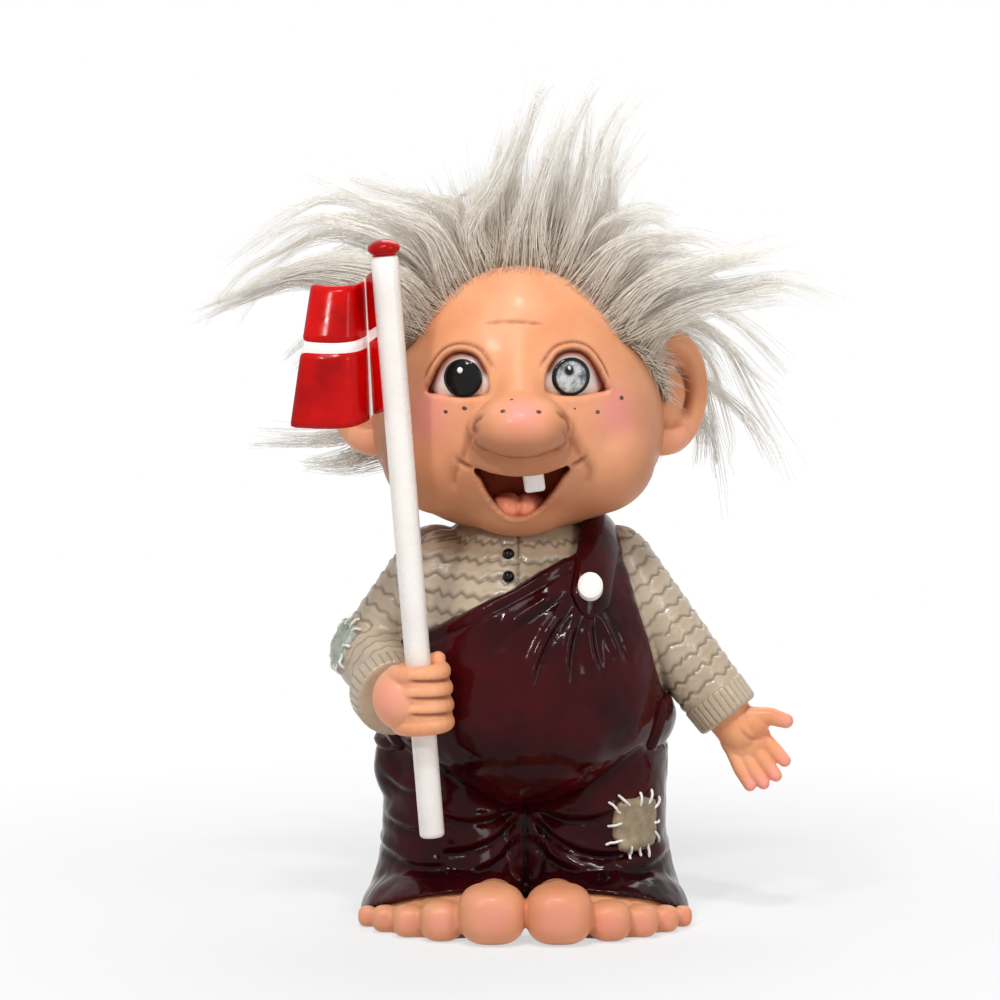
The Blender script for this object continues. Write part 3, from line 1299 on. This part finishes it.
def scalp_spread(count, seed):
    """Evenly scattered scalp points behind the hairline."""
    picker = random.Random(seed)
    found = []
    for number in range(count):
        up = math.asin(1 - 1.9 * (number + 0.5) / count)
        turn = number * 2.399963 + picker.uniform(-0.05, 0.05)
        aim = Vector((math.cos(up) * math.cos(turn), math.cos(up) * math.sin(turn), math.sin(up)))
        point, normal = scalp_at(aim)
        over_ear = abs(point.x - HEAD.x) > 19 and -1.5 < point.y < 7 and 84 < point.z < 103
        if point.y > hairline_y(point.z) and not over_ear:
            found.append((point, normal))
    return found


# %% Guide lines
# Each row is a lock: the places it passes in millimetres, from near the scalp to its tip.
GUIDES = {
    "crown": (
        ((-12.4, -5, 128.1), (-8.1, -4, 132.4), (-4.2, -3, 138.3)),
        ((-10.4, -8, 126.3), (-5.7, -8, 132.9), (-1.3, -6, 143), (-0.4, -5, 146.3)),
        ((-4.2, -2, 127.2), (-0.9, 0, 138.3), (2.5, 1, 147.7), (3.5, 1, 149.7)),
        ((0.5, -9, 127.2), (4, -8, 138.3), (7.4, -6, 148.3)),
        ((5, -3, 127.2), (7.8, -2, 139.7), (11.7, 0, 147.7), (14.4, 0, 151)),
        ((9.7, 5, 129.1), (11, 7, 142), (11.2, 8, 146.8)),
        ((11.7, -8, 128.1), (13.6, -7, 138.2), (17.5, -5, 145.9), (22.4, -4, 150.8)),
        ((13.6, 0, 127.2), (15.1, 2, 135.8), (18, 3, 143), (21.3, 4, 144.7)),
        ((-7, 9, 127), (-5, 13, 135), (-3, 16, 142)),
        ((4, 11, 127), (6, 15, 136), (9, 18, 143)),
        ((14, 9, 125), (17, 13, 132), (21, 15, 138)),
    ),
    "picture left": (
        ((-11.5, -8, 126.9), (-16.4, -8, 129.8), (-21.4, -7, 133.1)),
        ((-13.1, -4, 127.7), (-21.8, -4, 131), (-30.5, -4, 133.9)),
        ((-15, 2, 127), (-28.1, 3, 131.1), (-32.9, 4, 132.7)),
        ((-17.6, -9, 125.4), (-28.1, -8, 128.6), (-38.7, -7, 131.8)),
        ((-15.7, 0, 123.2), (-32.1, -1, 129.4), (-40.4, -1, 128.1), (-48.6, -2, 122.8),
         (-57.3, -2, 117.8)),
        ((-19.8, -7, 121.1), (-34.2, -7, 126.1), (-42.8, -6, 124.5), (-50.8, -6, 119.1),
         (-58.1, -5, 113.4)),
        ((-21.8, -2, 119.1), (-34.2, -2, 122.8), (-44.5, -2, 118.3), (-50.8, -2, 113.7),
         (-56.5, -2, 104.8)),
        ((-24, -8, 117), (-36.3, -6, 118.3), (-45.4, -4, 115), (-54.9, -3, 110.5), (-65, -2, 106.1)),
        ((-25, 2, 114.6), (-38.3, 3, 116.6), (-46.2, 4, 114.6), (-52.8, 4, 106.7)),
        ((-19, 9, 121), (-32, 12, 125), (-42, 14, 121), (-50, 15, 113)),
        ((-25, 6, 108), (-33, 9, 104), (-38, 11, 96)),
        ((-26, 9, 104), (-33, 12, 98), (-36, 13, 91)),
        ((-24, 10, 88), (-35, 11, 84.5), (-48.6, 12, 84.8)),
        ((-23, 12, 86), (-33, 12, 81), (-40.5, 13, 79.5)),
    ),
    "picture right": (
        ((13.6, -8, 125.2), (20.9, -7, 127.4), (31.5, -6, 128.8)),
        ((14.6, -3, 124.3), (22.3, -2, 125.7), (28.1, -2, 126.7)),
        ((17.5, -10, 121.4), (23.2, -9, 123.6), (28.1, -8, 122.9), (35.3, -7, 120.4)),
        ((18.5, -5, 119.5), (25.7, -4, 120.4), (32.4, -3, 121.2)),
        ((22, -9, 116), (32.9, -7, 118.6), (40.1, -5, 119.7), (45, -5, 120.2)),
        ((24, -2, 114.3), (37.7, 0, 118), (53.2, 2, 120.2)),
        ((25, -6, 111.8), (37.7, -3, 114.3), (46.4, -2, 115), (57, 0, 111)),
        ((25.5, 1, 110.4), (40.1, 4, 112.1), (46.9, 5, 112.1), (51.2, 6, 110)),
        ((19, 9, 120), (29, 12, 122), (38, 14, 119)),
        ((24.5, 5, 110.4), (36, 10, 107.6), (43.6, 11, 102), (53.1, 11, 92.2)),
        ((25, 7, 108.3), (35.3, 11, 103.5), (41.7, 12, 96.3), (50, 12, 90)),
        ((25, 9, 106.6), (36, 12, 102), (41.7, 12, 92.5), (45.9, 12, 85), (48.5, 12, 78.5)),
        ((25, 10, 104.8), (33.4, 13, 98.3), (36, 14, 90.7), (37.7, 13, 83.1), (36.8, 13, 79.4)),
        ((24.5, 12, 101.9), (32.2, 14, 94.5), (34.5, 15, 86.9), (36, 14, 80.5), (37.2, 14, 72)),
        ((24, 13, 96.5), (32, 16, 88.8), (32.9, 16, 80.2)),
        ((24.5, 11, 99.5), (38.3, 14, 90.7), (42.8, 14, 83.9), (45.1, 13, 79)),
    ),
    "back": (
        ((-14, 15, 122), (-19, 24, 126), (-24, 29, 124)), ((-3, 18, 126), (-3, 27, 133), (-2, 32, 136)),
        ((6, 18, 126), (9, 27, 133), (13, 32, 135)), ((15, 15, 122), (22, 23, 125), (28, 27, 122)),
        ((-24, 14, 112), (-36, 22, 116), (-46, 26, 111)),
        ((-19, 20, 116), (-29, 30, 119), (-38, 36, 114)),
        ((-24, 16, 104), (-35, 25, 104), (-43, 29, 96)),
        ((-14, 25, 108), (-21, 36, 108), (-27, 42, 100)),
        ((-6, 26, 114), (-9, 38, 116), (-12, 46, 110)), ((5, 26, 114), (7, 38, 116), (10, 47, 110)),
        ((0, 27, 104), (0, 40, 104), (1, 48, 96)), ((17, 20, 116), (27, 30, 118), (35, 36, 112)),
        ((23, 15, 112), (34, 22, 114), (43, 26, 108)), ((13, 25, 108), (20, 36, 107), (26, 42, 99)),
        ((23, 16, 104), (32, 25, 103), (38, 29, 94)), ((-20, 18, 94), (-25, 27, 89), (-26, 32, 80)),
        ((-10, 25, 96), (-14, 36, 91), (-16, 40, 80)), ((0, 27, 96), (0, 39, 90), (1, 43, 78)),
        ((10, 25, 96), (14, 36, 91), (16, 40, 79)), ((20, 18, 94), (24, 27, 88), (25, 32, 79)),
        ((-13, 23, 86), (-17, 32, 79), (-18, 34, 72)), ((0, 25, 86), (0, 34, 78), (1, 36, 71)),
        ((13, 23, 86), (17, 32, 79), (18, 34, 72)),
    ),
}


def through(points, t):
    """Place at a share t of a smooth line through points."""
    spans = len(points) - 1
    index = min(int(t * spans), spans - 1)
    near, far = points[index], points[index + 1]
    before = points[index - 1] if index else near * 2 - far
    after = points[index + 2] if index + 2 <= spans else far * 2 - near
    return bend(before, near, far, after, t * spans - index)


GUIDE_STEPS, WISPS = 24, 6
guides = []
for rows in GUIDES.values():
    for row in rows:
        marks = [Vector(mark) for mark in row]
        line = [scalp_at(marks[0] - HEAD)[0]] + marks
        guides.append([through(line, step / GUIDE_STEPS) for step in range(GUIDE_STEPS + 1)])
print(len(guides), "locks")


# %% Hairs
def hair_curves(name):
    curve = bpy.data.curves.new(name, "CURVE")
    curve.dimensions = "3D"
    curve.bevel_depth = 0.06 * MM
    curve.bevel_resolution, curve.resolution_u = 0, 1
    return curve


def add_hair(curve, line):
    """One hair along a line of points in millimetres, tapering to its tip."""
    spline = curve.splines.new("POLY")
    last = len(line) - 1
    spline.points.add(last)
    spline.points.foreach_set("co", [value for point in line for value in (*(point * MM), 1.0)])
    spline.points.foreach_set("radius", [1 - 0.65 * (step / last) ** 1.5 for step in range(last + 1)])


def scatter(picker, size):
    return Vector((picker.gauss(0, size), picker.gauss(0, size), picker.gauss(0, size)))


def nearest_guide(point):
    return min(range(len(guides)), key=lambda index: (guides[index][0] - point).length_squared)


# Within a lock the hairs part into a few wisps, each with its own drift and length.
picker = random.Random(5)
wisps = []
for guide in guides:
    spread = 0.042 * (guide[-1] - guide[0]).length
    wisps.append([(scatter(picker, spread), picker.uniform(0.8, 1.04)) for _ in range(WISPS)])
LONG_PIECES, LONG_POINTS = 8, 8
long_hair = [hair_curves(f"long_fur_{number}") for number in range(LONG_PIECES)]
hairs = 0
for number, (point, normal) in enumerate(scalp_spread(29000, 3)):
    if abs(point.x - HEAD.x) > 18 and point.y < 7 and point.z < 100:
        continue  # in front of the ears the fur stays short
    index = nearest_guide(point)
    guide = guides[index]
    drift, length = wisps[index][picker.randrange(WISPS)]
    length *= picker.uniform(0.78, 1.0) if picker.random() < 0.34 else picker.uniform(0.28, 0.74)
    if point.y > 8:
        length = min(1.0, length + 0.12)
    drift = drift + scatter(picker, 1.6 if picker.random() < 0.02 else 0.42)
    spare = point - guide[0]
    gather = 1.8 - 1.1 * unit((point.y - 5) / 10)
    line = []
    for step in range(LONG_POINTS):
        t = min(1.0, length * step / (LONG_POINTS - 1))
        mark = int(t * GUIDE_STEPS)
        place = guide[mark].lerp(guide[min(GUIDE_STEPS, mark + 1)], t * GUIDE_STEPS % 1)
        lift = 1.2 * math.sin(math.pi * min(1.0, 2 * t)) if step else -0.5
        line.append(place + spare * (1 - t) ** gather + normal * lift + drift * t**1.3)
    add_hair(long_hair[number % LONG_PIECES], line)
    hairs += 1

SHORT_PIECES, SHORT_POINTS = 3, 4
short_hair = [hair_curves(f"under_fur_{number}") for number in range(SHORT_PIECES)]
for number, (point, normal) in enumerate(scalp_spread(25000, 4)):
    guide = guides[nearest_guide(point)]
    flow = (guide[9] - guide[0]).normalized()
    at_edge = point.y - hairline_y(point.z) < 2.5
    by_ear = abs(point.x - HEAD.x) > 17 and point.y < 7 and point.z < 104
    length = picker.uniform(2.6, 6.0) if at_edge else picker.uniform(4.0, 8.5)
    rise, root = 0.6, point - normal * 0.4
    if by_ear:
        length, rise, root = picker.uniform(2.6, 5.6), 0.34, point + normal * 0.6
        flow = Vector((math.copysign(0.3, point.x), 0.5, -0.55)) + scatter(picker, 0.22)
    elif point.z < 93:
        rise = 0.4
    out = normal * rise + scatter(picker, 0.16)
    line = []
    for step in range(SHORT_POINTS):
        t = step / (SHORT_POINTS - 1)
        line.append(root + (out * t + flow * (0.95 * t**1.6)) * length)
    add_hair(short_hair[number % SHORT_PIECES], line)
    hairs += 1
print(hairs, "hairs")

# %% Fur colour
# Fur is dark at the skin and light at the tips, and no two hairs have the same tone.
fur_colour, tree, shader = new_material("fur")
streaks = add_range(tree, add_noise(tree, 420.0, detail=4.0, roughness=0.7), 0.35, 0.65, 0.0, 1.0)
pale = add_mix(tree, streaks, srgb(240, 234, 222), srgb(253, 250, 245))
dark = add_mix(tree, streaks, srgb(206, 190, 172), srgb(238, 228, 214))
set_inputs(tree, shader, {
    "Base Color": add_mix(tree, add_distance(tree, HAIR_MIDDLE, 27, 38), dark, pale),
    "Roughness": add_range(tree, streaks, 0.0, 1.0, 0.45, 0.65), "Specular IOR Level": 0.3,
})
for curve in long_hair + short_hair:
    curve.materials.append(fur_colour)
    tuft = add_object(curve.name, curve)
    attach(tuft, "figure")
    if curve == long_hair[0]:
        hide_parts("fur_locks")
    if curve == short_hair[0]:
        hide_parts("fur")
wig_cloth = painted(
    "wig_cloth", (136, 116, 98), (106, 88, 72), (80, 64, 50), patches=700,
    smooth=0.7, dull=0.9, coat=0.0,
)
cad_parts["wig_backing"].data.materials[0] = wig_cloth
print("fur in", len(long_hair + short_hair), "pieces")

# %% [markdown]
# ## Stage
# A white floor and plain soft light, as in a small photo tent: a large key from above and in
# front, smaller softboxes around it for the highlights, and one behind for the fur.


# %% Floor and lights
def seen_ray(tree):
    """1 for what the camera sees straight, mirrored or through glass, 0 for stray light."""
    path = add_node(tree, "LightPath", {}).outputs
    seen = path["Is Camera Ray"]
    for label in ("Is Glossy Ray", "Is Transmission Ray"):
        seen = add_node(tree, "Math", {0: seen, 1: path[label]}, operation="MAXIMUM").outputs[0]
    return seen


bm = bmesh.new()
bmesh.ops.create_grid(bm, x_segments=1, y_segments=1, size=2.0)
floor = as_piece(bm, "floor")
floor_white, tree, shader = new_material("floor_white")
tree.nodes.remove(shader)
white_share = add_distance(tree, (0, 0, 0), 60, 160, 0.6, 1.0)
blend = add_node(tree, "MixShader", {
    0: add_node(tree, "Math", {0: seen_ray(tree), 1: white_share}, operation="MULTIPLY").outputs[0],
    1: add_node(tree, "BsdfDiffuse", {"Color": (0.75, 0.75, 0.75, 1)}).outputs[0],
    2: add_node(tree, "Emission", {}).outputs[0],
})
set_inputs(tree, tree.nodes["Material Output"], {0: blend.outputs[0]})
floor.data.materials.append(floor_white)

STRAY_LIGHT = 0.2
world = bpy.data.worlds.new("studio")
bpy.context.scene.world = world
world.use_nodes = True
tree = world.node_tree
set_inputs(tree, tree.nodes["Background"], {
    "Color": (1, 1, 1, 1), "Strength": add_range(tree, seen_ray(tree), 0.0, 1.0, STRAY_LIGHT, 1.0),
})


def softbox(name, place, size, power):
    """Area lamp that looks at the middle of the figure."""
    lamp = bpy.data.lights.new(name, "AREA")
    lamp.shape, lamp.energy = "RECTANGLE", power
    lamp.size, lamp.size_y = size
    light = add_object(name, lamp)
    light.location = place
    aim = Vector((0, 0, 0.07)) - light.location
    light.rotation_euler = aim.to_track_quat("-Z", "Y").to_euler()


softbox("key", (-0.14, -0.38, 0.72), (0.32, 0.26), 1.65)
softbox("left", (-0.3, -0.55, 0.55), (0.07, 0.06), 1.65)
softbox("above", (0.0, -0.36, 0.74), (0.07, 0.06), 1.65)
softbox("right", (0.48, -0.46, 0.28), (0.1, 0.4), 1.1)
softbox("behind", (0.1, 0.36, 0.5), (0.4, 0.3), 1.5)
print("lamps", [lamp.name for lamp in bpy.data.lights])
bpy.context.scene.view_settings.view_transform = "Standard"
